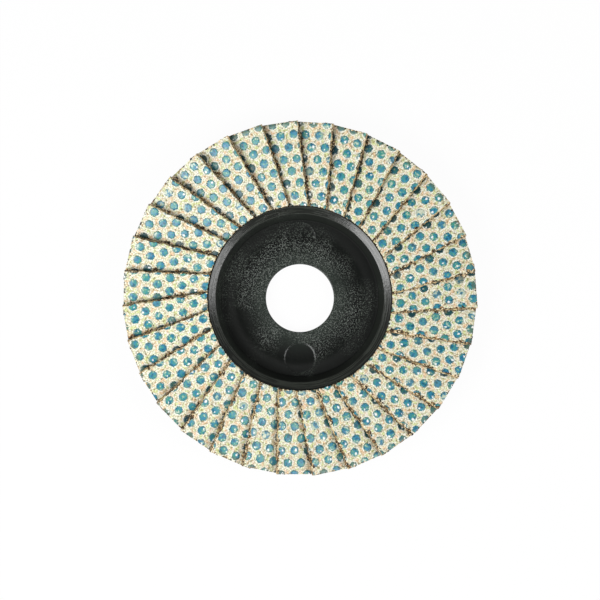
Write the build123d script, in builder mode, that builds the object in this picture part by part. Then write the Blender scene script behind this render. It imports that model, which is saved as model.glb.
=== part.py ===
"""Flap disc, 115 mm: abrasive cloth flaps glued in a fan on a moulded plastic backing plate.

The disc lies on the back of its hub with the abrasive side up (+Z). The origin is on the bore
axis, in the plane of the hub's back face. Clockwise is as seen from above: each flap lies over
its clockwise neighbour, and its free edge faces clockwise.

Lengths are in millimetres and angles in degrees.
"""

from build123d import *

import os
from math import asin, atan2, ceil, cos, degrees, floor, hypot, radians, sin, sqrt, tan

# Overall
disc_radius = 57.5  # to the outer corners of the flaps' free edges
bore_radius = 11.115  # 22.23 mm arbor bore

# Backing plate: a depressed hub, a lip round its recess and a flange that carries the flaps
floor_thickness = 3.6  # hub floor, which the clamp nut pinches
hub_height = 4.0  # from the hub's back face to the flange's back face
flange_thickness = 2.8
flange_overhang = 6.5  # the flaps reach past the flange's rim by this much
recess_floor_radius = 25.7
recess_mouth_radius = 27.4
lip_width = 2.6
lip_height = 3.4  # above the flange's front face
lip_bevel = 1.2  # the lip's top falls inward by this much
hub_wall = 2.6  # between the recess and the hub's outer wall
hub_draft = 0.5  # taper of the hub's outer wall, on the radius
bore_chamfer = 0.3
hub_chamfer = 0.8
neck_chamfer = 1.0  # inside corner between the hub and the flange
rim_chamfer = 0.8
recess_chamfer = 0.6  # inside corner between the recess's floor and wall
lip_chamfer = 0.25

# Ejector marks in the recess floor, one above and one below the bore
mark_count = 2
mark_azimuth = 90  # of the first mark, anticlockwise from +X
mark_radius = 5.0
mark_circle_radius = 19.6
mark_depth = 0.15

# Adhesive bed
adhesive_setback = 1.0  # from the flange's rim
adhesive_height = 3.2  # highest crest above the flange's front face
bed_thickness = 0.3  # under the flaps' rear edges

# Flaps: cloth with an abrasive coat, and raised hexagonal pads on the coat
flap_count = 31
flap_width = 15.0
cloth_thickness = 0.8
coat_thickness = 0.6
pad_height = 0.25
free_edge_offset = 6.45  # from the flap's radial line to the top of its free edge, in plan
lip_gap = 0.2  # from the lip to the flaps' inner ends, which follow its curve
stack_gap = 0.15  # height between neighbours where they lie closest, at their inner ends
first_azimuth = 14.9  # radial line of flap 1, anticlockwise from +X
placing_drift = 1.25  # slow wave in the flaps' azimuths round the disc, as laid

# Hexagonal pads: their pattern is printed on a long tape, from which the flaps are chopped
pad_pitch = 4.54  # between centres
pad_flats = 2.75  # across flats
pad_margin = 0.1  # least distance from a pad to the flap's edges
row_drift = -0.15  # the rows creep inward by this much from each flap to the next
# Each run of tape: the flaps before it, how far out of step with the disc's axis its rows lie, how
# far across its first flap its columns lie, and how far they creep from each flap to the next
tape_runs = [
    (0, 0.8, 3.0, 3.5),
    (4, 2.3, 0.1, 1.9),
    (9, 3.8, 1.7, 1.3),
    (16, 0.3, 3.9, 0),
    (17, 2.6, 2.5, 3.6),
    (20, 0.3, 1.5, 0),
    (21, 2.5, 0.6, 2.5),
]

flange_back = hub_height
flange_front = flange_back + flange_thickness
flange_radius = disc_radius - flange_overhang
lip_radius = recess_mouth_radius + lip_width
lip_top = flange_front + lip_height
hub_radius = recess_floor_radius + hub_wall
adhesive_radius = flange_radius - adhesive_setback

slab_thickness = cloth_thickness + coat_thickness
flap_thickness = slab_thickness + pad_height
flap_start = lip_radius + lip_gap
flap_end = sqrt(disc_radius**2 - free_edge_offset**2)
flap_pitch = 360 / flap_count

# The flaps lie on each other at their inner ends, so their tilt follows from their thickness
# there: step * sin(tilt) - stack_gap * cos(tilt) = flap_thickness.
tightest_pitch = flap_pitch * (1 - radians(placing_drift))
inner_step = 2 * flap_start * tan(radians(tightest_pitch / 2))
flap_tilt = degrees(asin(flap_thickness / hypot(inner_step, stack_gap)) + atan2(stack_gap, inner_step))

free_edge = (free_edge_offset + slab_thickness * sin(radians(flap_tilt))) / cos(radians(flap_tilt))
rear_edge = flap_width - free_edge
# Curve of the inner ends, in the flaps' own planes, so that their top corners clear the lip
inner_end_radius = sqrt(flap_start**2 + free_edge**2 - free_edge_offset**2)
underside_height = flange_front + bed_thickness + rear_edge * sin(radians(flap_tilt))

pad_row_spacing = pad_pitch * sqrt(3) / 2
pad_radius = pad_flats / sqrt(3)


def flap_azimuth(number):
    """Direction of a flap's radial line."""
    even = first_azimuth + number * flap_pitch
    return even + placing_drift * sin(radians(even))


def flap_plane(number):
    """Underside of a flap: X runs outward, Y anticlockwise and down the slope."""
    azimuth = radians(flap_azimuth(number))
    lean = sin(radians(flap_tilt))
    return Plane(
        origin=(0, 0, underside_height),
        x_dir=(cos(azimuth), sin(azimuth), 0),
        z_dir=(-sin(azimuth) * lean, cos(azimuth) * lean, cos(radians(flap_tilt))),
    )


def in_sight(number, along, across):
    """True where the next flap leaves this point of a flap's top uncovered."""
    tilt = radians(flap_tilt)
    sideways = -across * cos(tilt) - slab_thickness * sin(tilt)
    step = radians(flap_azimuth(number + 1) - flap_azimuth(number))
    return along * sin(step) + sideways * cos(step) > free_edge_offset


def pattern_offsets(number):
    """Offsets of a flap's pad pattern, along and across the flap."""
    flaps_before, rows, columns, creep = [run for run in tape_runs if run[0] <= number][-1]
    steps = number - flaps_before
    return rows + steps * row_drift, columns + steps * creep


def pad_places(number):
    """Centres of the pads that show whole on a flap, in its plane."""
    rows, columns = pattern_offsets(number)
    inner = inner_end_radius + pad_radius + pad_margin
    outer = flap_end - pad_radius - pad_margin
    edge = -free_edge + pad_flats / 2 + pad_margin
    first_row = ceil((inner - rows) / pad_row_spacing)
    last_row = floor((outer - rows) / pad_row_spacing)
    places = []
    for row in range(first_row, last_row + 1):
        along = rows + row * pad_row_spacing
        shift = (columns + row * pad_pitch / 2) % pad_pitch
        first_column = ceil((edge - shift) / pad_pitch)
        last_column = floor((rear_edge - shift) / pad_pitch)
        for column in range(first_column, last_column + 1):
            across = shift + column * pad_pitch
            if in_sight(number, along, across):
                places.append((along, across))
    return places


os.makedirs("parts", exist_ok=True)

# Backing plate: (radius, height, chamfer) of each corner of its half section
plate_corners = [
    (bore_radius, 0, bore_chamfer),
    (hub_radius - hub_draft, 0, hub_chamfer),
    (hub_radius, flange_back, neck_chamfer),
    (flange_radius, flange_back, rim_chamfer),
    (flange_radius, flange_front, 0),
    (lip_radius, flange_front, 0),
    (lip_radius, lip_top, lip_chamfer),
    (recess_mouth_radius, lip_top - lip_bevel, 0),
    (recess_floor_radius, floor_thickness, recess_chamfer),
    (bore_radius, floor_thickness, bore_chamfer),
]

with BuildPart() as backing_plate:
    with BuildSketch(Plane.XZ) as section:
        with BuildLine():
            Polyline(*[(radius, height) for radius, height, _ in plate_corners], close=True)
        make_face()
        for radius, height, cut in plate_corners:
            if cut > 0:
                chamfer(section.vertices().sort_by_distance((radius, height))[0], cut)
    revolve(axis=Axis.Z)
    with BuildSketch(Plane.XY.offset(floor_thickness)):
        with PolarLocations(mark_circle_radius, mark_count, start_angle=mark_azimuth):
            Circle(mark_radius)
    extrude(amount=-mark_depth, mode=Mode.SUBTRACT)

backing_plate.part.label = "backing_plate"
export_step(backing_plate.part, "parts/backing_plate.step")

# Adhesive bed: a ring on the flange, shaped into one ramp under each flap
with BuildPart() as adhesive_bed:
    with BuildSketch(Plane.XY.offset(flange_front)):
        Circle(adhesive_radius)
        Circle(lip_radius, mode=Mode.SUBTRACT)
    extrude(amount=adhesive_height)
    with BuildSketch(*[flap_plane(number) for number in range(flap_count)]):
        with Locations((0, rear_edge)):
            Rectangle(disc_radius, flap_width, align=(Align.MIN, Align.MAX))
    extrude(amount=2 * adhesive_height, mode=Mode.SUBTRACT)

adhesive_bed.part.label = "adhesive_bed"
export_step(adhesive_bed.part, "parts/adhesive_bed.step")

# Flaps
for number in range(flap_count):
    underside = flap_plane(number)
    with BuildPart() as flap:
        with BuildSketch(underside):
            with Locations((0, rear_edge)):
                Rectangle(flap_end, flap_width, align=(Align.MIN, Align.MAX))
            Circle(inner_end_radius, mode=Mode.SUBTRACT)
        extrude(amount=slab_thickness)
        with BuildSketch(underside.offset(slab_thickness)):
            with Locations(*pad_places(number)):
                RegularPolygon(pad_radius, 6)
        extrude(amount=pad_height)
    name = f"flap_{number + 1:02d}"
    flap.part.label = name
    export_step(flap.part, f"parts/{name}.step")
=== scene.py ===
"""Looks of the flap disc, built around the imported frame, for Blender 4.5.

The named values are in millimetres and degrees, as in the part's source, unless they say otherwise.
The meshes are in metres in the same frame: +Z along the bore axis, and the disc lies on the back of
its hub at height 0.
"""

from math import asin, atan2, cos, hypot, pi, radians, sin, sqrt, tan

import bpy
import numpy as np
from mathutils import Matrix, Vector


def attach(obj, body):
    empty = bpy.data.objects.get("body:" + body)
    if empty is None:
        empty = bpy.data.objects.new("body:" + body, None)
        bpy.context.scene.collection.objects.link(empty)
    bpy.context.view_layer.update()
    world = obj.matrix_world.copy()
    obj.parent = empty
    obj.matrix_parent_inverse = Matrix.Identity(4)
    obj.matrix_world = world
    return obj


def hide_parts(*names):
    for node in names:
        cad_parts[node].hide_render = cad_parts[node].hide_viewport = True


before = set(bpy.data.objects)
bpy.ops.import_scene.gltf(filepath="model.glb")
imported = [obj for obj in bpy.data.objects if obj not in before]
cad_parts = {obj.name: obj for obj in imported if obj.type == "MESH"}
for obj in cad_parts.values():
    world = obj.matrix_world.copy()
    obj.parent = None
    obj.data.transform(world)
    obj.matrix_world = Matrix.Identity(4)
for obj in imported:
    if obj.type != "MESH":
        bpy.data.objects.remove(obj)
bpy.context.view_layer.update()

MM = 0.001

# The disc, as in the part's source
disc_radius = 57.5
bore_radius = 11.115
floor_thickness = 3.6
hub_height = 4.0
flange_thickness = 2.8
flange_overhang = 6.5
recess_floor_radius = 25.7
recess_mouth_radius = 27.4
lip_width = 2.6
lip_height = 3.4
lip_bevel = 1.2
hub_wall = 2.6
hub_draft = 0.5
mark_count = 2
mark_azimuth = 90
mark_radius = 5.0
mark_circle_radius = 19.6
mark_depth = 0.15
bed_thickness = 0.3
flap_count = 31
flap_width = 15.0
cloth_thickness = 0.8
coat_thickness = 0.6
pad_height = 0.25
free_edge_offset = 6.45
lip_gap = 0.2
stack_gap = 0.15
first_azimuth = 14.9
placing_drift = 1.25
pad_pitch = 4.54
pad_flats = 2.75
row_drift = -0.15
# Each run of tape: flaps before it, offsets of its pads along and across its first flap, and how
# far its columns creep from each flap to the next
tape_runs = [
    (0, 0.8, 3.0, 3.5),
    (4, 2.3, 0.1, 1.9),
    (9, 3.8, 1.7, 1.3),
    (16, 0.3, 3.9, 0),
    (17, 2.6, 2.5, 3.6),
    (20, 0.3, 1.5, 0),
    (21, 2.5, 0.6, 2.5),
]

flange_front = hub_height + flange_thickness
flange_radius = disc_radius - flange_overhang
lip_radius = recess_mouth_radius + lip_width
lip_top = flange_front + lip_height
hub_radius = recess_floor_radius + hub_wall
flap_start = lip_radius + lip_gap
flap_end = sqrt(disc_radius**2 - free_edge_offset**2)
flap_pitch = 360 / flap_count
tightest_pitch = flap_pitch * (1 - radians(placing_drift))
inner_step = 2 * flap_start * tan(radians(tightest_pitch / 2))
slab_thickness = cloth_thickness + coat_thickness
flap_thickness = slab_thickness + pad_height
# The tilt is in radians
flap_tilt = asin(flap_thickness / hypot(inner_step, stack_gap)) + atan2(stack_gap, inner_step)
free_edge = (free_edge_offset + slab_thickness * sin(flap_tilt)) / cos(flap_tilt)
rear_edge = flap_width - free_edge
underside_height = flange_front + bed_thickness + rear_edge * sin(flap_tilt)
pad_row_spacing = pad_pitch * sqrt(3) / 2

# The photograph's frame, and a long lens
photo_pixels = 600
disc_radius_pixels = 177.1
disc_centre_pixels = (299.9, 298.1)
camera_height = 900.0  # above the flaps
sensor_width = 36.0


# Noise -------------------------------------------------------------------------------------------
#
# Each seed gives another pattern. Sizes are in mm.


def scatter(i, j, seed):
    """A number from 0 to 1 for each pair of whole numbers, as if at random."""
    mixed = (i * 374761393 + j * 668265263 + seed * 974634777) & 0xFFFFFFFF
    mixed = ((mixed ^ (mixed >> 13)) * 1274126177) & 0xFFFFFFFF
    return ((mixed ^ (mixed >> 16)) & 0xFFFF) / 65535


def noise(x, y, size, seed):
    """Smooth noise from -1 to 1, with lumps of about that size."""
    column, row = np.floor(x / size).astype(int), np.floor(y / size).astype(int)
    u, v = x / size - column, y / size - row
    u, v = u * u * (3 - 2 * u), v * v * (3 - 2 * v)
    near = scatter(column, row, seed) * (1 - u) + scatter(column + 1, row, seed) * u
    far = scatter(column, row + 1, seed) * (1 - u) + scatter(column + 1, row + 1, seed) * u
    return 2 * (near * (1 - v) + far * v) - 1


def grains(x, y, size, seed):
    """Height from 0 to 1 of a layer of round grains of about that size."""
    lowest = 0.35
    column, row = np.floor(x / size).astype(int), np.floor(y / size).astype(int)
    top = np.zeros_like(x)
    for i in (-1, 0, 1):
        for j in (-1, 0, 1):
            centre_x = (column + i + scatter(column + i, row + j, seed)) * size
            centre_y = (row + j + scatter(column + i, row + j, seed + 1)) * size
            height = lowest + (1 - lowest) * scatter(column + i, row + j, seed + 2)
            away = np.hypot(x - centre_x, y - centre_y) / size
            top = np.maximum(top, height * (1 - away**2))
    return top


def step_up(low, high, value):
    """0 at low, 1 at high, and smooth between; low may be the greater."""
    share = np.clip((value - low) / (high - low), 0, 1)
    return share * share * (3 - 2 * share)


def along_range(bounds, share):
    """A number from bounds, which hold the start and the change up to a share of 1."""
    start, change = bounds
    return start + change * share


# Meshes ------------------------------------------------------------------------------------------


def add_mesh(name, points, faces, attributes, sharp_angle=55):
    """A new object from points in mm, groups of faces with equal corner counts, and attributes.

    Edges that turn by more than sharp_angle stay sharp, and the rest are shaded smooth.
    """
    mesh = bpy.data.meshes.new(name)
    mesh.vertices.add(len(points))
    mesh.vertices.foreach_set("co", (points * MM).astype(np.float32).ravel())
    counts = np.concatenate([np.full(len(group), group.shape[1]) for group in faces])
    corners = np.concatenate([group.ravel() for group in faces])
    starts = np.concatenate([[0], np.cumsum(counts)[:-1]])
    mesh.loops.add(len(corners))
    mesh.loops.foreach_set("vertex_index", corners.astype(np.int32))
    mesh.polygons.add(len(counts))
    mesh.polygons.foreach_set("loop_start", starts.astype(np.int32))
    mesh.polygons.foreach_set("use_smooth", np.ones(len(counts), bool))
    mesh.update(calc_edges=True)
    mesh.validate()
    mesh.set_sharp_from_angle(angle=radians(sharp_angle))
    for label, values in attributes.items():
        kind = "FLOAT_VECTOR" if values.ndim == 2 else "FLOAT"
        field = "vector" if values.ndim == 2 else "value"
        layer = mesh.attributes.new(label, kind, "POINT")
        layer.data.foreach_set(field, values.astype(np.float32).ravel())
    made = bpy.data.objects.new(name, mesh)
    bpy.context.scene.collection.objects.link(made)
    return made


def tube_faces(rings, around, closed):
    """Quads between rings of points, joined end to end if closed."""
    ring = np.arange(rings if closed else rings - 1)[:, None]
    place = np.arange(around)[None, :]
    after = (ring + 1) % rings
    beside = (place + 1) % around
    corners = [ring * around + place, after * around + place]
    corners += [after * around + beside, ring * around + beside]
    return np.stack(corners, axis=-1).reshape(-1, 4)


# Flaps -------------------------------------------------------------------------------------------

# Points of the mesh
length_cells = 122
sight_columns = 56  # across the top, from the free edge to just past the next flap's
covered_columns = 4  # and from there to the rear edge
under_columns = 12
wall_points = 4  # up the free edge
sight_margin = 1.0  # the fine mesh reaches under the next flap by this much
rear_wall = [0.7, 0.3]  # heights down the rear edge, as shares of the slab

# Cut edges
lip_clearance = 0.1  # the inner ends nearly touch the lip
edge_width = 0.5  # of the worn stretch along the free edge and the ends
edge_drop = 0.1
edge_unevenness = 0.6
cut_raggedness = 0.19
cut_setback = 0.8  # of the free edge, as a share of its raggedness
cut_waviness = 0.8  # the same
end_width = 0.3
inner_nibbling = 0.15
inner_setback = 0.1
outer_nibbling = 0.05
thread_size = 0.3  # of the notches in the cut edges
thread_squash = 1.7
thread_start = 9  # in the noise, on the free edge
coat_overhang = 0.12  # the coat reaches past the cloth at the inner end
end_reach = 0.16  # the outer ends reach out by half to one and a half times this

# Bends, and how straight each flap lies
bend_height = 0.12
twist_height = 0.1
wave_height = 0.05
wave_size = 6.0
wave_squash = 0.5  # the waves are longer across the flap
turn_spread = 0.7

# Coat and pads
coat_sag = 0.15  # from the slab's top to the bottom of the coat's grain
grain_size = 0.5
grain_height = 0.2
pad_foot = 0.04  # the pads' rims lie this far below the slab's top
pad_bevel = 0.18
pad_lift = 0.14
pad_doming = 0.05
pad_wander = 0.22  # range of the pads' places, each way
pad_turning = 0.3  # radians, range of the pads' turns
pad_growth = 0.09  # range of the pads' sizes, as a share
pad_roundness = 0.35  # a hexagon at 0 and a circle at 1
# Glints are white highlights painted on the pads, each over a small raised facet
glint_fan = 4.0  # radians, range of the directions from a pad's middle to its glint
glint_flatness = 1.2

# Starts and changes, for along_range
glint_reach = (0.3, 0.75)  # from a pad's middle, at random
glint_radius = (0.14, 0.34)  # at random
glint_chance = (0.42, 0.2)  # greatest for the flaps that face glint_azimuth
dust_and_shade_width = (0.8, 0.2)  # of the strip of dust beads and painted shade; greatest for the flaps that face the azimuth below
worn_width = (0.6, -0.4)  # least for the flaps that face the azimuth below, where the painted shade is deepest
shade_setback = (0.6, -0.6)  # draws back the painted shade on the pads; least for the flaps that face shady_azimuth

# Directions on the disc
glint_azimuth = -50  # the side of the pads, and of the disc, with most of the painted glints
dust_and_shade_azimuth = 130  # where the strips of dust beads and painted shade beside the next flaps are widest, and worn edges narrowest
shady_azimuth = 75  # where the painted shade on the pads beside the next flaps reaches furthest

out_of_reach = 9.0  # stands for any distance too great to matter
noise_step = 40  # between the flaps' places in the noise
seeds_per_flap = 50


def flap_random(number, index):
    """A random number of a flap's own, from 0 to 1."""
    return scatter(number, index, seed=53)


def flap_azimuth(number):
    """Direction of a flap's radial line, in degrees."""
    even = first_azimuth + number * flap_pitch
    return even + placing_drift * sin(radians(even))


def facing(number, azimuth):
    """1 for a flap at that azimuth, down to -1 for one at the opposite side."""
    return cos(radians(flap_azimuth(number) - azimuth))


def pattern_offsets(number):
    """Offsets of a flap's pad pattern, along and across the flap."""
    flaps_before, rows, columns, creep = [run for run in tape_runs if run[0] <= number][-1]
    steps = number - flaps_before
    return rows + steps * row_drift, columns + steps * creep


def cover_line(number, along):
    """How far across a flap the next flap leaves it in sight."""
    step = radians(flap_azimuth(number + 1) - flap_azimuth(number))
    reach = (along * sin(step) - free_edge_offset) / (cos(step) * cos(flap_tilt))
    return reach - slab_thickness * tan(flap_tilt)


def pad_depth(x, y, size):
    """Distance inside the edge of a pad, which is a hexagon with soft corners."""
    sides = [np.abs(x * cos(a) + y * sin(a)) for a in (pi / 6, pi / 2, 5 * pi / 6)]
    sharp = np.maximum(np.maximum(sides[0], sides[1]), sides[2])
    return size - ((1 - pad_roundness) * sharp + pad_roundness * np.hypot(x, y))


def glint_depth(x, y, toward_glints, random):
    """Distance inside the edge of a pad's glint, a white spot painted as a highlight over a small
    raised facet, or below 0 where it has none.
    """
    angle = toward_glints + glint_fan * (random(6) - 0.5)
    reach = along_range(glint_reach, random(7))
    has_glint = random(9) < along_range(glint_chance, cos(toward_glints))
    radius = along_range(glint_radius, random(8)) * has_glint
    away = np.hypot(x - reach * np.cos(angle), (y - reach * np.sin(angle)) * glint_flatness)
    return np.where(radius > 0, radius - away, -1)


def pad_fields(number, along, across):
    """What the nearest pad gives each place on a flap, as a dictionary of fields.

    pad and glint are distances inside their edges, tone is the pad's own random number, and nook is
    the distance from its centre to the next flap's free edge.
    """
    fields = {
        "pad": np.full(along.shape, -out_of_reach),
        "tone": np.zeros(along.shape),
        "glint": np.full(along.shape, -out_of_reach),
        "nook": np.full(along.shape, out_of_reach),
    }
    rows, columns = pattern_offsets(number)
    toward_glints = radians(glint_azimuth - flap_azimuth(number))
    middle_row = np.round((along - rows) / pad_row_spacing).astype(int)
    for row in (middle_row - 1, middle_row, middle_row + 1):
        shift = columns + row * pad_pitch / 2
        column = np.round((across - shift) / pad_pitch).astype(int)

        def random(index):
            return scatter(row, column, seeds_per_flap * number + index)

        x = along - rows - row * pad_row_spacing + pad_wander * (random(1) - 0.5)
        y = across - shift - column * pad_pitch + pad_wander * (random(2) - 0.5)
        turn = pad_turning * (random(3) - 0.5)
        x, y = x * np.cos(turn) + y * np.sin(turn), y * np.cos(turn) - x * np.sin(turn)
        found = {
            "pad": pad_depth(x, y, pad_flats / 2 * (1.0 + pad_growth * (random(4) - 0.5))),
            "tone": random(5),
            "glint": glint_depth(x, y, toward_glints, random),
            "nook": cover_line(number, along - x) - (across - y),
        }
        nearer = found["pad"] > fields["pad"]
        for label, values in found.items():
            fields[label] = np.where(nearer, values, fields[label])
    return fields


def flap_fields(number, along, across, inner_end):
    """All that the cloth's shape and material read of each place on a flap, by name.

    The distances from the next flap's free edge, where dust beads and painted shade lie, and from
    the flap's own, worn_edge, are shorter where the strips beside them are wider. rim and end are
    distances from the outer end and from the nearer end.
    """
    fields = pad_fields(number, along, across)
    fields["nook"] += along_range(shade_setback, facing(number, shady_azimuth))
    dust_and_shade_facing = facing(number, dust_and_shade_azimuth)
    fields["dust_and_shade"] = (cover_line(number, along) - across) / along_range(dust_and_shade_width, dust_and_shade_facing)
    fields["worn_edge"] = (across + free_edge) / along_range(worn_width, dust_and_shade_facing)
    fields["rim"] = flap_end - along
    fields["end"] = np.minimum(along - inner_end, fields["rim"])
    return fields


def coat_height(x, y, inside, glint):
    """Height of a flap's top above its underside: grain, with raised domed pads."""
    grain = grains(x, y, grain_size, seed=11) * grain_height
    grain = grain + 0.03 * noise(x, y, size=0.9, seed=17)
    ragged = inside + 0.1 * noise(x, y, size=0.4, seed=23)
    rise = step_up(-0.06, pad_bevel, ragged)
    lumps = 0.03 * noise(x, y, size=0.55, seed=29) + 0.015 * noise(x, y, size=0.3, seed=31)
    facet = 0.03 * step_up(-0.1, 0.1, glint)
    dome = pad_lift + pad_doming * np.clip(inside, 0, 1) + lumps + facet
    network = slab_thickness - coat_sag + grain
    return network * (1 - rise) + (slab_thickness - pad_foot + dome) * rise


def flap_loop(number, along):
    """Places across and heights of the points round each cross-section, starting at the free edge.

    The first points lie on top, out to the rear edge, and the rest go down, back and up again. The
    first and last sections are pressed flat, which closes the ends. The third value is the number
    of points on top.
    """
    seen = np.linspace(0, 1, sight_columns)
    hidden = np.linspace(0, 1, covered_columns + 1)[1:]
    limit = cover_line(number, along)[:, None] + sight_margin
    top = np.concatenate(
        [-free_edge + seen * (limit + free_edge), limit + hidden * (rear_edge - limit)], axis=1
    )
    under = np.linspace(rear_edge, -free_edge, under_columns)
    free_wall = np.linspace(0, 1, wall_points + 2)[1:-1]
    rest = [np.full(len(rear_wall), rear_edge), under, np.full(wall_points, -free_edge)]
    heights = np.concatenate([rear_wall, np.zeros(under_columns), free_wall])
    across = np.concatenate([top, np.tile(np.concatenate(rest), (len(along), 1))], axis=1)
    height = np.concatenate([np.ones(top.shape), np.tile(heights, (len(along), 1))], axis=1)
    height[[0, -1]] = 0.5
    return across, height * slab_thickness, top.shape[1]


def frayed(number, along, across, height, inner_end):
    """The places along and across, with a frayed free edge and nibbled ends."""
    x, y = along + noise_step * number, across + noise_step * number
    free_side = step_up(-free_edge + edge_width, -free_edge, across)
    outer = step_up(flap_end - end_width, flap_end, along)
    inner = step_up(inner_end + end_width, inner_end, along)
    threads = noise(x, height * thread_squash + thread_start, thread_size, seed=41)
    waves = cut_waviness * noise(x, np.zeros_like(y), size=0.8, seed=43)
    new_across = across + cut_raggedness * free_side * (threads + waves + cut_setback)
    nibble = noise(y, height * thread_squash, thread_size, seed=47)
    overhang = coat_overhang * step_up(0.7, 1.0, height)
    new_along = along + inner * (inner_nibbling * nibble + inner_setback - overhang)
    new_along = new_along + outer_nibbling * outer * nibble
    new_along += end_reach * outer * (flap_random(number, 1) + 0.5)
    return new_along, new_across


def bend(number, reach, along, across):
    """How far each place on a flap bends up, most at the outer end."""
    bowed = bend_height * (flap_random(number, 2) - 0.5) * reach**2
    twisted = twist_height * (flap_random(number, 3) - 0.5) * reach * across / free_edge
    waves = noise(along + noise_step * number, across * wave_squash, wave_size, seed=59)
    return bowed + twisted + wave_height * reach * waves


def on_disc(number, along, across, height):
    """Points of the disc's frame from places along and across a flap, and heights on it."""
    azimuth = radians(flap_azimuth(number))
    outward = np.array([cos(azimuth), sin(azimuth), 0])
    upward = np.array([-sin(azimuth) * sin(flap_tilt), cos(azimuth) * sin(flap_tilt), cos(flap_tilt)])
    sideways = np.cross(upward, outward)
    points = np.array([0, 0, underside_height]) + along[..., None] * outward
    return points + across[..., None] * sideways + height[..., None] * upward


def make_flap(number, material):
    """One flap of coated cloth, cut a little unevenly and hardly bent."""
    reach = np.concatenate([[0], np.linspace(0, 1, length_cells + 1), [1]])[:, None]
    across, height, on_top = flap_loop(number, (flap_start + reach * (flap_end - flap_start))[:, 0])
    aside = across * cos(flap_tilt) + height * sin(flap_tilt)
    inner_end = np.sqrt((lip_radius + lip_clearance) ** 2 - aside**2)
    along = inner_end + reach * (flap_end - inner_end)
    fields = flap_fields(number, along, across, inner_end)

    x, y = along + noise_step * number, across + noise_step * number
    top = np.s_[1:-1, :on_top]
    height[top] = coat_height(x, y, fields["pad"], fields["glint"])[top]
    free_side = step_up(-free_edge + edge_width, -free_edge, across)
    worn = np.clip(free_side + step_up(edge_width, 0, fields["end"]), 0, 1)
    unevenness = edge_unevenness * noise(x, y, size=0.5, seed=37)
    height[top] -= (edge_drop * worn * (1 + unevenness))[top]

    new_along, new_across = frayed(number, along, across, height, inner_end)
    turn = radians(turn_spread * (flap_random(number, 4) - 0.5))
    new_across = new_across + (along - flap_start) * turn
    points = on_disc(number, new_along, new_across, height + bend(number, reach, along, across))

    under_start = on_top + len(rear_wall)
    fields["layer"] = height
    fields["under"] = np.zeros(across.shape)
    fields["under"][:, under_start:under_start + under_columns] = 1
    attributes = {label: values.ravel() for label, values in fields.items()}
    attributes["place"] = np.stack([x, y, height], axis=-1).reshape(-1, 3)
    node = f"flap_{number + 1:02d}"
    faces = [tube_faces(*across.shape, closed=False)]
    flap = add_mesh(f"cloth_{node}", points.reshape(-1, 3), faces, attributes)
    flap.data.materials.append(material)
    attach(flap, "root")
    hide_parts(node)


# Backing plate -----------------------------------------------------------------------------------

plate_segments = 480
fillet_steps = 4
floor_spacing = 0.22
wall_spacing = 0.6
bevel_spacing = 0.09
plain_spacing = 2.5

mark_edge = 0.12  # half the width of the slope round an ejector mark
burr_place = 0.2  # outside the mark's edge
burr_width = 0.16
upper_burr = 0.045
lower_burr = 0.01
turned_pitch = 0.42  # of the lines on the lip's bevel
turned_depth = 0.004
turned_unevenness = 0.007
bevel_margin = 0.1  # the lines start this far from the recess
crest_margin = 0.3  # and end this far from the lip's outer side
floor_tolerance = 0.01  # for telling the floor's points by their height
bevel_tolerance = 0.05  # for telling the bevel's points by their height
streak_size = 0.2
streak_circle = 2  # the streaks' noise is taken round a circle of this radius, so they run long

# (radius, height, fillet, spacing of the points up to the next corner)
plate_corners = [
    (bore_radius, 0, 0.3, plain_spacing),
    (hub_radius - hub_draft, 0, 0.8, plain_spacing),
    (hub_radius, hub_height, 1.0, plain_spacing),
    (flange_radius, hub_height, 0.8, plain_spacing),
    (flange_radius, flange_front, 0.4, plain_spacing),
    (lip_radius, flange_front, 0, plain_spacing),
    (lip_radius, lip_top, 0.14, bevel_spacing),
    (recess_mouth_radius, lip_top - lip_bevel, 0.15, wall_spacing),
    (recess_floor_radius, floor_thickness, 0.6, floor_spacing),
    (bore_radius, floor_thickness, 0.3, plain_spacing),
]


def rounded_corner(here, before, after, radius):
    """Points round a corner, given its neighbours, from one end of its fillet to the other."""
    if radius == 0:
        return [here]
    back, ahead = before - here, after - here
    back, ahead = back / np.hypot(*back), ahead / np.hypot(*ahead)
    half = np.arccos(np.clip(back @ ahead, -1, 1)) / 2
    setback = radius / tan(half)
    first, last = here + back * setback, here + ahead * setback
    middle = back + ahead
    centre = here + middle / np.hypot(*middle) * radius / sin(half)
    points = [first]
    for step in range(1, fillet_steps):
        share = step / fillet_steps
        ray = (first - centre) * (1 - share) + (last - centre) * share
        points.append(centre + ray / np.hypot(*ray) * radius)
    return points + [last]


def rounded_profile(corners):
    """Points of a closed profile with its corners rounded and its sides divided."""
    count = len(corners)
    places = [np.array(corner[:2], float) for corner in corners]
    rounds = [
        rounded_corner(place, places[index - 1], places[(index + 1) % count], corners[index][2])
        for index, place in enumerate(places)
    ]
    points = []
    for index, (_, _, _, spacing) in enumerate(corners):
        start, end = rounds[index][-1], rounds[(index + 1) % count][0]
        cells = max(1, round(np.hypot(*(end - start)) / spacing))
        shares = np.arange(1, cells) / cells
        points += rounds[index] + [start + (end - start) * share for share in shares]
    return np.array(points)


def mark_distance(x, y):
    """Distance outside the edge of the nearest ejector mark, up to out_of_reach."""
    nearest = np.full(x.shape, out_of_reach)
    for number in range(mark_count):
        azimuth = radians(mark_azimuth + number * 360 / mark_count)
        centre_x, centre_y = mark_circle_radius * cos(azimuth), mark_circle_radius * sin(azimuth)
        nearest = np.minimum(nearest, np.hypot(x - centre_x, y - centre_y) - mark_radius)
    return nearest


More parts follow.
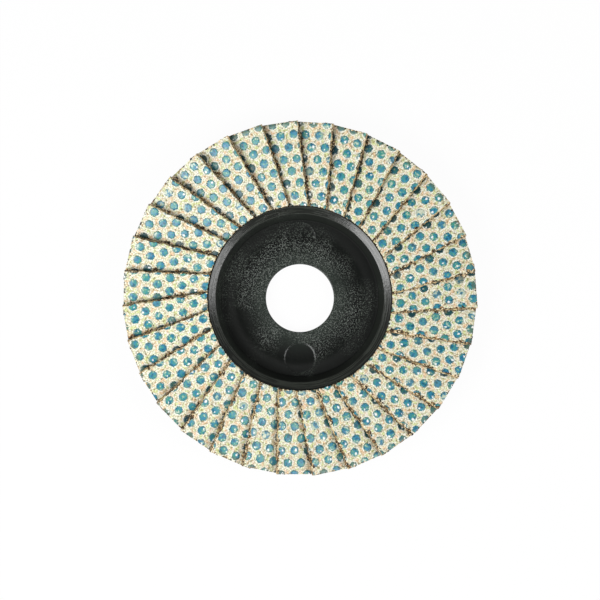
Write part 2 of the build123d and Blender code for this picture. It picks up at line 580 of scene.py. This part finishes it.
def floor_relief(x, y, mark):
    """Height of the recess floor's marks, of the burrs round them and of its faint waves."""
    sunk = -mark_depth * step_up(mark_edge, -mark_edge, mark)
    burr = np.where(y > 0, upper_burr, lower_burr) * np.exp(-((mark - burr_place) / burr_width) ** 2)
    waves = 0.012 * noise(x, y, size=1.1, seed=61) + 0.008 * noise(x, y, size=0.45, seed=67)
    return sunk + burr + waves


def bevel_relief(radius, angle):
    """Height of the turned lines on the lip's bevel."""
    lines = turned_depth * np.sin(2 * pi * radius / turned_pitch)
    return lines + turned_unevenness * noise(radius, angle * 2, size=0.25, seed=71)


def make_plate(material):
    """The moulded plate, with ejector marks and turned lines on its lip's bevel."""
    profile = rounded_profile(plate_corners)
    angle = np.arange(plate_segments)[:, None] * 2 * pi / plate_segments
    radius = np.tile(profile[:, 0], (plate_segments, 1))
    height = np.tile(profile[:, 1], (plate_segments, 1))
    x, y = radius * np.cos(angle), radius * np.sin(angle)

    mark = mark_distance(x, y)
    on_floor = np.abs(height - floor_thickness) < floor_tolerance
    on_floor &= radius < recess_floor_radius
    height = height + on_floor * floor_relief(x, y, mark)
    on_bevel = radius > recess_mouth_radius + bevel_margin
    on_bevel &= radius < lip_radius - crest_margin
    on_bevel &= height > lip_top - lip_bevel - bevel_tolerance
    height = height + on_bevel * bevel_relief(radius, angle)

    streaks = noise(radius, streak_circle * np.cos(angle), streak_size, seed=73)
    streaks = streaks + noise(radius, streak_circle * np.sin(angle), streak_size, seed=79)
    fields = {
        "mark": mark,
        "lower_mark": np.where(y < 0, mark, out_of_reach),
        "polish": on_bevel * 1.0,
        "brush": streaks,
    }
    attributes = {label: values.ravel() for label, values in fields.items()}
    points = np.stack([x, y, height], axis=-1).reshape(-1, 3)
    faces = [tube_faces(*radius.shape, closed=True)]
    plate = add_mesh("moulded_backing_plate", points, faces, attributes, sharp_angle=40)
    plate.data.materials.append(material)
    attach(plate, "root")
    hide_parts("backing_plate")


# Materials ---------------------------------------------------------------------------------------


class Shader:
    """A material's node tree, with short ways to add to it."""

    def __init__(self, name):
        self.material = bpy.data.materials.new(name)
        self.material.use_nodes = True
        self.tree = self.material.node_tree
        self.tree.nodes.clear()

    def add(self, kind, inputs=None, **settings):
        """Adds a node, and fills its inputs with numbers, colours or the sockets to link."""
        node = self.tree.nodes.new("ShaderNode" + kind)
        for name, value in settings.items():
            setattr(node, name, value)
        for name, value in (inputs or {}).items():
            if isinstance(value, bpy.types.NodeSocket):
                self.tree.links.new(value, node.inputs[name])
            else:
                node.inputs[name].default_value = value
        return node

    def attribute(self, name, output="Fac"):
        return self.add("Attribute", attribute_name=name).outputs[output]

    def place(self):
        """The object's own coordinates, in mm."""
        metres = self.add("TexCoord").outputs["Object"]
        return self.add("VectorMath", {0: metres, "Scale": 1 / MM}, operation="SCALE").outputs[0]

    def calc(self, operation, first, second=0.0):
        node = self.add("Math", {0: first, 1: second}, operation=operation)
        return node.outputs[0]

    def total(self, first, *terms):
        for term in terms:
            first = self.calc("ADD", first, term)
        return first

    def product(self, first, *factors):
        for factor in factors:
            first = self.calc("MULTIPLY", first, factor)
        return first

    def difference(self, first, second):
        return self.calc("SUBTRACT", first, second)

    def ease(self, value, low, high):
        """0 at low and 1 at high, smooth between; low may be the greater."""
        node = self.add(
            "MapRange",
            {"Value": value, "From Min": low, "From Max": high},
            interpolation_type="SMOOTHSTEP",
        )
        return node.outputs["Result"]

    def between(self, share, low, high):
        """low where the share is 0, and high where it is 1."""
        node = self.add("MapRange", {"Value": share, "To Min": low, "To Max": high})
        return node.outputs["Result"]

    def mix(self, share, first, second):
        node = self.add("Mix", {0: share, 6: first, 7: second}, data_type="RGBA")
        return node.outputs[2]

    def ramp(self, value, stops):
        """A colour for each stop (place, colour) along the value."""
        node = self.add("ValToRGB", {"Fac": value})
        band = node.color_ramp
        while len(band.elements) < len(stops):
            band.elements.new(0.5)
        for element, (place, colour) in zip(band.elements, stops):
            element.position = place
            element.color = colour
        return node.outputs["Color"]

    def noise(self, vector, scale, detail, distortion=0.0):
        node = self.add(
            "TexNoise",
            {"Vector": vector, "Scale": scale, "Detail": detail, "Distortion": distortion},
        )
        return node.outputs["Fac"]

    def cells(self, vector, scale):
        """Distance from the middle of the nearest cell, and two random numbers of that cell."""
        cells = self.add("TexVoronoi", {"Vector": vector, "Scale": scale, "Randomness": 1.0})
        tint = self.add("SeparateColor", {"Color": cells.outputs["Color"]})
        return cells.outputs["Distance"], tint.outputs["Red"], tint.outputs["Green"]

    def bump(self, height, strength, distance):
        """A normal for relief up to that distance, in mm."""
        inputs = {"Height": height, "Strength": strength, "Distance": distance * MM}
        return self.add("Bump", inputs).outputs["Normal"]

    def finish(self, inputs):
        """Ends the tree in a Principled shader with these inputs."""
        surface = self.add("BsdfPrincipled", inputs)
        self.add("OutputMaterial", {"Surface": surface.outputs[0]})
        return self.material


def srgb(red, green, blue):
    """A colour given as it looks on screen, from 0 to 255."""
    return [((level / 255 + 0.055) / 1.055) ** 2.4 for level in (red, green, blue)] + [1.0]


# Colours that are laid over others
dark_grain = srgb(110, 92, 54)
light_grain = srgb(255, 255, 252)
grain_gap = srgb(164, 146, 92)
grain_pit = srgb(118, 94, 56)
pad_halo = srgb(253, 255, 242)
painted_shade_tint = srgb(188, 152, 92)
pad_rim = srgb(62, 112, 100)
worn_pad = srgb(222, 226, 202)
shaded_pad = srgb(6, 48, 50)
dull_pad = srgb(94, 116, 96)
painted_glint_white = srgb(248, 252, 250)
# painted shade: near black in the gap under the next flap's free edge
painted_gap_shade = srgb(24, 18, 12)
cut_cloth = srgb(226, 202, 150)
# painted shade: the recess floor's plastic by the bore, at the foot of the wall, and on the wall
middle_plastic = srgb(36, 43, 38)
painted_shade_plastic = srgb(6, 10, 7)
painted_wall_shade = srgb(24, 29, 24)
dark_streak = srgb(24, 27, 23)
light_streak = srgb(44, 48, 42)
fibre_grey = srgb(128, 138, 128)
floor_grey = (0.9, 0.9, 0.9, 1)
white = (1, 1, 1, 1)


def grain_colour(shader, place, fine):
    """Cream coat with peach and yellow-green patches, made of light and dark grains.

    The second value is a random number for each grain.
    """
    colour = shader.ramp(
        shader.noise(place, scale=0.6, detail=1.5),
        [
            (0.35, srgb(255, 217, 178)),
            (0.44, srgb(254, 243, 206)),
            (0.53, srgb(252, 255, 234)),
            (0.61, srgb(230, 240, 174)),
        ],
    )
    distance, chance, height = shader.cells(place, scale=1.9)
    dark = shader.product(shader.ease(chance, 0.2, 0.0), 0.8)
    colour = shader.mix(dark, colour, dark_grain)
    light = shader.product(shader.ease(chance, 0.6, 0.9), 0.6)
    colour = shader.mix(light, colour, light_grain)
    gap = shader.product(shader.ease(distance, 0.38, 0.6), 0.5)
    colour = shader.mix(gap, colour, grain_gap)
    return shader.mix(shader.ease(fine, 0.66, 0.74), colour, grain_pit), height


def pad_colour(shader, place):
    """Blue resin that turns green, dark and pale in patches, with some worn pads, painted shade
    beside the next flap and painted white glints.
    """
    tone = shader.attribute("tone")
    own = shader.ramp(
        tone,
        [
            (0.0, srgb(150, 176, 164)),
            (0.1, srgb(96, 156, 162)),
            (0.3, srgb(66, 144, 176)),
            (0.55, srgb(52, 136, 158)),
            (0.75, srgb(60, 150, 142)),
            (0.9, srgb(80, 150, 160)),
            (1.0, srgb(136, 174, 170)),
        ],
    )
    mottle = shader.noise(place, scale=1.0, detail=1.0)
    patches = shader.ramp(
        mottle,
        [
            (0.32, srgb(14, 80, 100)),
            (0.41, srgb(36, 126, 174)),
            (0.49, srgb(64, 146, 164)),
            (0.55, srgb(58, 150, 132)),
            (0.62, srgb(104, 166, 140)),
            (0.7, srgb(216, 228, 208)),
        ],
    )
    colour = shader.mix(0.75, own, patches)
    rim = shader.product(shader.ease(shader.attribute("pad"), 0.42, 0.05), 0.75)
    colour = shader.mix(rim, colour, pad_rim)
    worn = shader.product(shader.ease(tone, 0.1, 0.03), shader.ease(mottle, 0.46, 0.54), 0.7)
    colour = shader.mix(worn, colour, worn_pad)
    # painted shade: pads near the next flap's free edge turn dark
    shade = shader.product(shader.ease(shader.attribute("nook"), 2.9, 1.1), 0.88)
    colour = shader.mix(shade, colour, shaded_pad)
    dull = shader.product(
        shader.ease(shader.attribute("rim"), 1.7, 0.8), 0.75, shader.ease(tone, 0.35, 0.6)
    )
    colour = shader.mix(dull, colour, dull_pad)
    # painted highlights: white glints on the pads
    speck = shader.noise(place, scale=3.0, detail=2.0)
    glint = shader.total(shader.attribute("glint"), speck)
    return shader.mix(shader.ease(glint, 0.4, 0.56), colour, painted_glint_white)


def bead_colour(shader, place):
    """Dark and rusty beads of resin and dust, and a random number for each."""
    _, tint, chance = shader.cells(place, scale=2.3)
    colour = shader.ramp(
        tint,
        [
            (0.0, srgb(16, 12, 8)),
            (0.26, srgb(44, 36, 22)),
            (0.42, srgb(98, 72, 42)),
            (0.54, srgb(76, 74, 44)),
            (0.64, srgb(146, 102, 60)),
            (0.76, srgb(204, 170, 114)),
            (0.9, srgb(255, 240, 204)),
        ],
    )
    return colour, chance


def weave_height(shader, place):
    """Over-and-under threads of the cloth's back."""
    waves = [
        shader.add(
            "TexWave",
            {"Vector": place, "Scale": 0.5, "Distortion": 0.6, "Detail": 1.0},
            bands_direction=direction,
        ).outputs["Fac"]
        for direction in "XY"
    ]
    return shader.calc("MAXIMUM", *waves)


def clean_face(shader, place, cream, blot, on_pad):
    """A flap's face without its beads: grain, paler round the pads, and with a warm painted shade,
    tinted like dust, beside the next flap.
    """
    uneven = shader.ease(shader.noise(place, scale=0.8, detail=1.0), 0.35, 0.6)
    halo = shader.product(shader.ease(shader.attribute("pad"), -0.55, -0.2), uneven)
    cream = shader.mix(halo, cream, pad_halo)
    # painted shade: a warm dusty tint on the coat beside the next flap
    warm_shade = shader.total(shader.attribute("dust_and_shade"), shader.product(blot, 2.0))
    warm_shade = shader.product(shader.ease(warm_shade, 2.4, 1.3), 0.55)
    cream = shader.mix(warm_shade, cream, painted_shade_tint)
    return shader.mix(on_pad, cream, pad_colour(shader, place))


def beaded_face(shader, face, beads, chance, blot, notch, on_pad):
    """The face with dust beads and painted shade beside the next flap, painted shade right at its
    edge, and beads along its own free edge and at its ends.
    """
    dust_and_shade = shader.attribute("dust_and_shade")
    # dust beads and painted shade in a strip beside the next flap, thinner over the pads
    spread = shader.total(dust_and_shade, chance, shader.product(blot, 5.0))
    bare = shader.difference(1.0, shader.product(on_pad, 0.7))
    strip = shader.product(shader.ease(spread, 3.9, 3.6), bare)
    face = shader.mix(strip, face, beads)
    rubbed = shader.total(
        shader.attribute("worn_edge"), shader.product(blot, 4.0), shader.product(chance, 0.6)
    )
    face = shader.mix(shader.ease(rubbed, 2.85, 2.6), face, beads)
    # painted shade: near black right along the next flap's free edge
    face = shader.mix(shader.ease(shader.total(dust_and_shade, notch), 0.25, 0.0), face, painted_gap_shade)
    reach = shader.total(shader.attribute("end"), shader.product(chance, 0.8))
    return shader.mix(shader.ease(reach, 0.5, 0.3), face, beads)


def flap_material():
    """Coated cloth: creamy grain with blue resin pads, a dusty brown cut edge and a woven back."""
    shader = Shader("coated_cloth")
    place = shader.attribute("place", "Vector")
    fine = shader.noise(place, scale=4.0, detail=3.0)
    blot = shader.noise(place, scale=0.45, detail=1.0)
    notch = shader.product(shader.difference(fine, 0.5), 1.6)
    on_pad = shader.ease(shader.total(shader.attribute("pad"), notch), -0.04, 0.04)

    cream, grain_chance = grain_colour(shader, place, fine)
    beads, bead_chance = bead_colour(shader, place)
    face = clean_face(shader, place, cream, blot, on_pad)
    face = beaded_face(shader, face, beads, bead_chance, blot, notch, on_pad)

    fall = shader.total(shader.attribute("layer"), shader.product(notch, 0.5))
    below = shader.ease(fall, slab_thickness - 0.2, slab_thickness - 0.35)
    cut = shader.mix(shader.ease(blot, 0.48, 0.6), beads, cut_cloth)
    colour = shader.mix(below, face, cut)

    weave = weave_height(shader, place)
    cloth = shader.ramp(weave, [(0.3, srgb(92, 66, 40)), (1.0, srgb(168, 132, 88))])
    under = shader.attribute("under")

    grit = shader.total(fine, shader.product(grain_chance, 0.8))
    grit = shader.product(grit, shader.difference(1.0, on_pad))
    relief = shader.total(grit, shader.product(weave, under))
    return shader.finish(
        {
            "Base Color": shader.mix(under, colour, cloth),
            "Roughness": shader.between(on_pad, 0.75, 0.35),
            "Normal": shader.bump(relief, strength=0.8, distance=0.15),
            "IOR": 1.5,
        }
    )


def fibre_share(shader, place, axes, radius, breaks):
    """Where the plastic's fibres show: in clumps, most of them by the bore, up and to the left."""
    swirl = shader.noise(place, scale=1.9, detail=2.0, distortion=2.5)
    ridge = shader.calc("ABSOLUTE", shader.difference(swirl, 0.5))
    fibre = shader.product(shader.ease(ridge, 0.05, 0.0), shader.ease(breaks, 0.48, 0.58))
    clumps = shader.noise(place, scale=0.07, detail=2.0)
    crowd = shader.difference(clumps, shader.product(radius, 0.0155))
    crowd = shader.difference(crowd, shader.product(axes["X"], 0.005))
    crowd = shader.total(crowd, shader.product(axes["Y"], 0.0015))
    outside_lower_mark = shader.ease(shader.attribute("lower_mark"), -0.6, 0.0)
    return shader.product(fibre, shader.ease(crowd, 0.05, 0.39), outside_lower_mark)


def ring_share(shader, axes, breaks):
    """Where the broken pale rings round the ejector marks show, the upper one more."""
    ring = shader.calc("ABSOLUTE", shader.difference(shader.attribute("mark"), 0.15))
    ring = shader.product(shader.ease(ring, 0.2, 0.0), shader.ease(breaks, 0.45, 0.65))
    upper = shader.ease(axes["Y"], -1.0, 1.0)
    return shader.product(ring, shader.total(0.12, shader.product(0.33, upper)))


def plate_material():
    """Black moulded plastic with short curled fibres just under its skin, and painted shade that
    darkens its recess floor towards the wall.
    """
    shader = Shader("fibre_filled_plastic")
    place = shader.place()
    radius = shader.add("VectorMath", {0: place}, operation="LENGTH").outputs["Value"]
    axes = shader.add("SeparateXYZ", {0: place}).outputs
    wall = shader.ease(axes["Z"], floor_thickness, floor_thickness + 0.9)
    polish = shader.attribute("polish")
    brush = shader.ease(shader.attribute("brush"), -0.5, 0.5)
    breaks = shader.noise(place, scale=2.2, detail=2.0, distortion=0.5)
    fibre = fibre_share(shader, place, axes, radius, breaks)

    pale = shader.calc("MAXIMUM", fibre, ring_share(shader, axes, breaks))
    pale = shader.product(pale, shader.difference(1.0, polish))
    # painted shade: the floor darkens from the bore towards the wall, and the wall has its own darker
    # copy of the plastic
    ground = shader.mix(shader.ease(radius, 11.0, 20.0), middle_plastic, painted_shade_plastic)
    ground = shader.mix(wall, ground, painted_wall_shade)
    ground = shader.mix(polish, ground, shader.mix(brush, dark_streak, light_streak))

    moulded = shader.between(shader.ease(radius, 20.5, 24.5), 0.27, 0.67)
    turned = shader.between(brush, 0.21, 0.31)
    rough = shader.total(shader.product(polish, shader.difference(turned, moulded)), moulded)
    outer_floor = shader.difference(
        shader.ease(radius, 18.0, 22.0), shader.calc("MAXIMUM", wall, polish)
    )
    sheen = shader.difference(0.5, shader.product(outer_floor, 0.24))
    sheen = shader.total(sheen, shader.product(polish, 0.22))
    grain = shader.noise(place, scale=1.2, detail=3.0)
    relief = shader.total(shader.product(fibre, 0.8), grain)
    return shader.finish(
        {
            "Base Color": shader.mix(pale, ground, fibre_grey),
            "Roughness": rough,
            "Normal": shader.bump(relief, strength=0.3, distance=0.1),
            "IOR": 1.45,
            "Specular IOR Level": sheen,
        }
    )


def adhesive_material():
    """Cured amber-brown resin, uneven in colour and gloss."""
    shader = Shader("cured_resin")
    place = shader.place()
    cloud = shader.noise(place, scale=0.26, detail=4.0)
    colour = shader.ramp(
        cloud, [(0.3, srgb(88, 58, 26)), (0.55, srgb(132, 92, 44)), (0.75, srgb(164, 122, 66))]
    )
    relief = shader.noise(place, scale=0.7, detail=3.0)
    return shader.finish(
        {
            "Base Color": colour,
            "Roughness": shader.between(cloud, 0.25, 0.6),
            "Normal": shader.bump(relief, strength=0.6, distance=0.3),
        }
    )


def dress_adhesive():
    """Gives the adhesive bed, which is the part's own solid, its material."""
    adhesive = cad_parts["adhesive_bed"]
    adhesive.data.materials.clear()
    adhesive.data.materials.append(adhesive_material())


# Studio ------------------------------------------------------------------------------------------

floor_half_width = 3000.0
floor_height = -0.05
glow_share = 0.96  # the rest of the floor's look is its shadow
world_strength = 0.2
camera_far_end = 100.0  # metres

# (name, azimuth, elevation, distance, side, watts)
softboxes = [("key", 211, 50, 700, 400, 4.2), ("side", 342, 48, 700, 330, 2.1)]


def white_to_sight(shader, surface):
    """Shows a surface as nearly plain white to the camera and in gloss, and as itself to light."""
    path = shader.add("LightPath")
    seen = shader.calc("MAXIMUM", path.outputs["Is Camera Ray"], path.outputs["Is Glossy Ray"])
    seen = shader.calc("MAXIMUM", seen, path.outputs["Is Transmission Ray"])
    share = shader.product(seen, glow_share)
    glow = shader.add("Emission", {"Color": white, "Strength": 1.0})
    return shader.add("MixShader", {0: share, 1: surface, 2: glow.outputs[0]}).outputs[0]


def make_floor():
    """A plain white floor that keeps a faint shadow."""
    half = floor_half_width
    corners = [(-half, -half), (half, -half), (half, half), (-half, half)]
    points = np.array([(x, y, floor_height) for x, y in corners])
    floor = add_mesh("floor", points, [np.array([[0, 1, 2, 3]])], {})
    shader = Shader("white_floor")
    diffuse = shader.add("BsdfDiffuse", {"Color": floor_grey}).outputs[0]
    shader.add("OutputMaterial", {"Surface": white_to_sight(shader, diffuse)})
    floor.data.materials.append(shader.material)


def make_world():
    """A grey surround as light, which is white to the camera."""
    world = bpy.data.worlds.new("surround")
    world.use_nodes = True
    tree = world.node_tree
    tree.nodes.clear()
    path = tree.nodes.new("ShaderNodeLightPath")
    background = tree.nodes.new("ShaderNodeBackground")
    reach = tree.nodes.new("ShaderNodeMapRange")
    reach.inputs["To Min"].default_value = world_strength
    reach.inputs["To Max"].default_value = 1.0
    output = tree.nodes.new("ShaderNodeOutputWorld")
    tree.links.new(path.outputs["Is Camera Ray"], reach.inputs["Value"])
    tree.links.new(reach.outputs["Result"], background.inputs["Strength"])
    tree.links.new(background.outputs[0], output.inputs["Surface"])
    background.inputs["Color"].default_value = white
    bpy.context.scene.world = world


def add_softbox(name, azimuth, elevation, distance, side, watts):
    """A square lamp aimed at the disc from that direction."""
    lamp = bpy.data.lights.new(name, "AREA")
    lamp.shape = "SQUARE"
    lamp.size = side * MM
    lamp.energy = watts
    made = bpy.data.objects.new(name, lamp)
    level = radians(elevation)
    turn = radians(azimuth)
    way = Vector((cos(turn) * cos(level), sin(turn) * cos(level), sin(level)))
    made.location = way * distance * MM
    made.rotation_euler = way.to_track_quat("Z", "Y").to_euler()
    bpy.context.scene.collection.objects.link(made)


def make_camera():
    """A long lens straight above the disc, framed as in the photograph."""
    scale = disc_radius / disc_radius_pixels
    data = bpy.data.cameras.new("camera")
    data.sensor_width = sensor_width
    data.lens = sensor_width * camera_height / (scale * photo_pixels)
    data.clip_end = camera_far_end
    camera = bpy.data.objects.new("camera", data)
    middle = photo_pixels / 2
    right = (middle - disc_centre_pixels[0]) * scale
    up = (disc_centre_pixels[1] - middle) * scale
    flap_top = underside_height + free_edge * sin(flap_tilt)
    camera.location = Vector((right, up, flap_top + camera_height)) * MM
    bpy.context.scene.collection.objects.link(camera)
    bpy.context.scene.camera = camera


def main():
    """Dresses the part and sets up the studio."""
    bpy.context.scene.view_settings.view_transform = "Standard"
    cloth = flap_material()
    for number in range(flap_count):
        make_flap(number, cloth)
    make_plate(plate_material())
    dress_adhesive()
    make_floor()
    make_world()
    for softbox in softboxes:
        add_softbox(*softbox)
    make_camera()


main()
